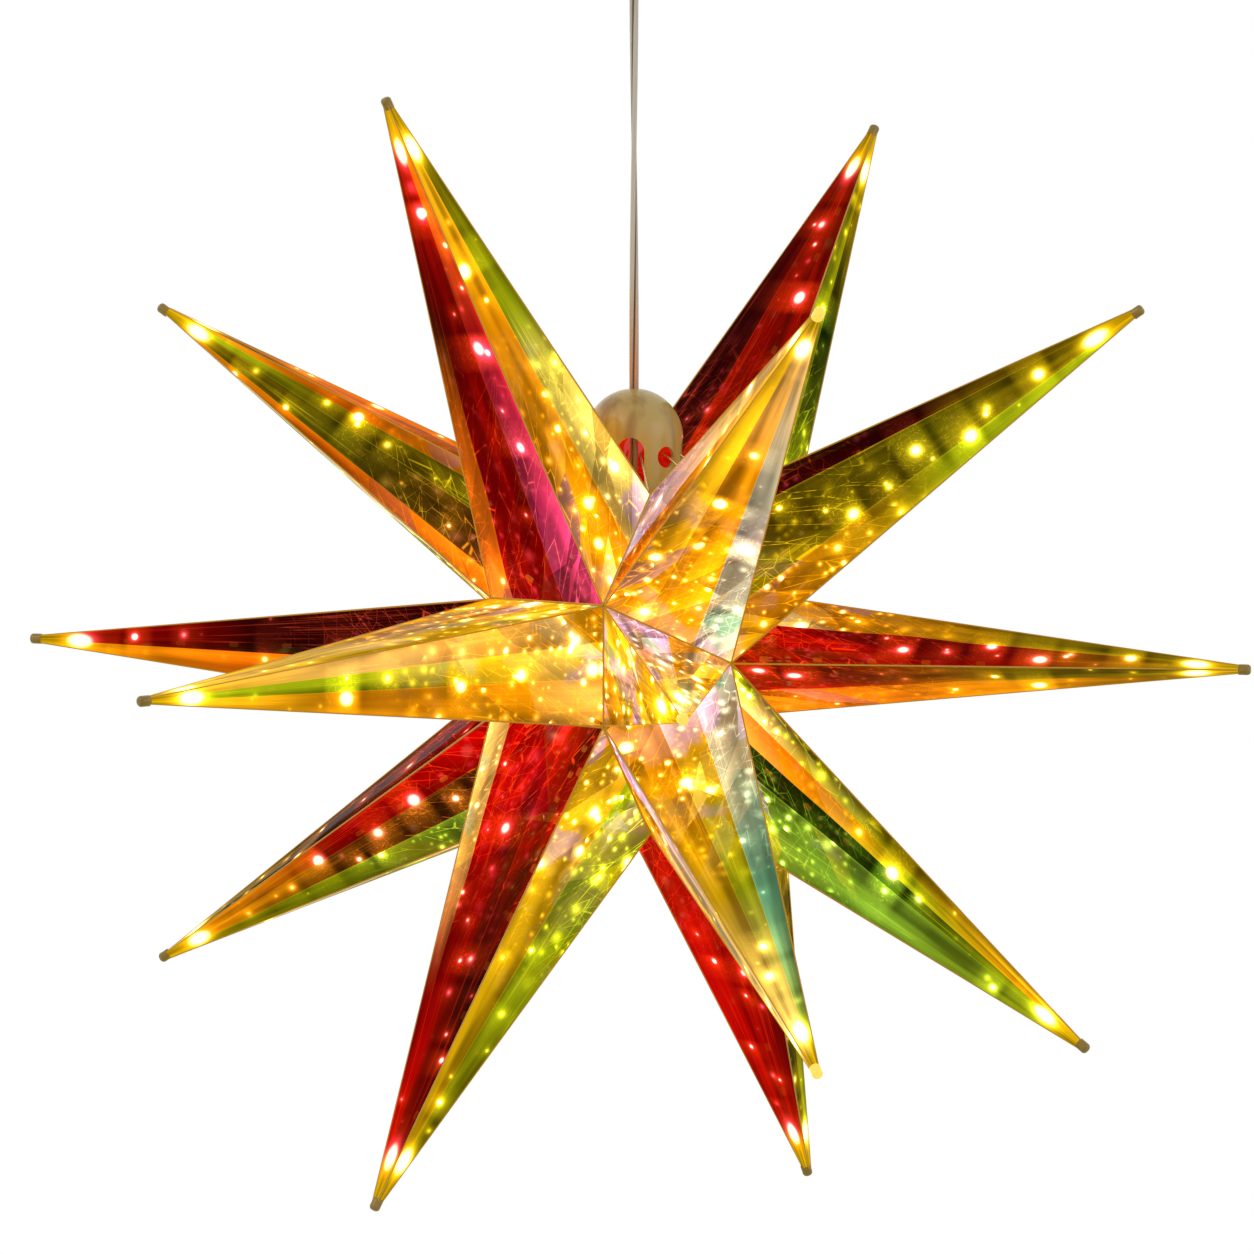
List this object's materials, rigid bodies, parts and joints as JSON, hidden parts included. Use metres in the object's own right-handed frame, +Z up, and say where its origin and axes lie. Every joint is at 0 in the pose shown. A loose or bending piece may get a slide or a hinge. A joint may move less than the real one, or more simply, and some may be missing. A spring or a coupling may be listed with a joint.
{
  "type": "hanging led star",
  "caption": "Hanging christmas star of hollow iridescent film spikes around a lit core, with warm lamps in every spike, on a clear twin cord under a ceiling fitting.",
  "frame": {"origin": "on the ceiling, at the middle of the bracket's two screw holes", "axes": "+Z up along the hanging cord; -Y is the front half of the star and +X its right side"},
  "size_m": [0.5061, 0.6093, 0.6467],
  "materials": {
    "spike_film": "iridescent clear film, glossy",
    "clear_cap": "clear moulded plastic",
    "lamp_wire": "thin clear insulated wire",
    "lamp_bead": "clear resin lamp bead, lit warm white",
    "clear_tie": "clear plastic knot",
    "splice_plastic": "clear moulded splice",
    "clear_cord": "clear twin lead with copper cores",
    "tie_wire": "thin bare wire",
    "dome_plastic": "cream translucent moulding",
    "canopy_paint": "white powder coat",
    "bracket_steel": "zinc plated strap",
    "screw_steel": "plated thumb screw",
    "driver_plastic": "white moulded case",
    "lead_plastic": "clear lead",
    "grip_plastic": "white nylon"
  },
  "bodies": {
    "ceiling_fitting": {"ceiling_canopy": "canopy_paint", "canopy_bracket": "bracket_steel", "canopy_screws": "screw_steel", "led_driver": "driver_plastic", "driver_leads": "lead_plastic", "cord_grip": "grip_plastic", "grip_nut": "grip_plastic"},
    "hanging_cord": {"hanging_cord": "clear_cord", "cord_stop": "clear_tie", "cord_knot": "clear_tie"},
    "star": {"spike_front_left_upper": "spike_film", "spike_front_left_middle": "spike_film", "spike_front_left_lower": "spike_film", "spike_front_centre_upper": "spike_film", "spike_front_centre_middle": "spike_film", "spike_front_centre_lower": "spike_film", "spike_front_right_upper": "spike_film", "spike_front_right_middle": "spike_film", "spike_front_right_lower": "spike_film", "spike_back_right_upper": "spike_film", "spike_back_right_middle": "spike_film", "spike_back_right_lower": "spike_film", "spike_back_centre_upper": "spike_film", "spike_back_centre_middle": "spike_film", "spike_back_centre_lower": "spike_film", "spike_back_left_upper": "spike_film", "spike_back_left_middle": "spike_film", "spike_back_left_lower": "spike_film", "tip_caps_front_left": "clear_cap", "tip_caps_front_centre": "clear_cap", "tip_caps_front_right": "clear_cap", "tip_caps_back_right": "clear_cap", "tip_caps_back_centre": "clear_cap", "tip_caps_back_left": "clear_cap", "light_wires_front_left": "lamp_wire", "light_wires_front_centre": "lamp_wire", "light_wires_front_right": "lamp_wire", "light_wires_back_right": "lamp_wire", "light_wires_back_centre": "lamp_wire", "light_wires_back_left": "lamp_wire", "led_lamps_front_left": "lamp_bead", "led_lamps_front_centre": "lamp_bead", "led_lamps_front_right": "lamp_bead", "led_lamps_back_right": "lamp_bead", "led_lamps_back_centre": "lamp_bead", "led_lamps_back_left": "lamp_bead", "front_corner_knots": "clear_tie", "back_corner_knots": "clear_tie", "waist_knots": "clear_tie", "top_rim_knots": "clear_tie", "low_rim_knots": "clear_tie", "light_hub": "splice_plastic", "supply_lead": "clear_cord", "hanger_ties": "tie_wire", "dome_cap": "dome_plastic"}
  },
  "joints": [
    {"name": "cord_swing", "type": "hinge", "parent": "ceiling_fitting", "child": "hanging_cord", "pos_m": [0, 0, -0.025], "axis": [1, 0, 0], "range_deg": [-20, 20]},
    {"name": "star_turn", "type": "hinge", "parent": "hanging_cord", "child": "star", "pos_m": [0, 0, -0.265], "axis": [0, 0, 1], "range_deg": [-180, 180]}
  ]
}
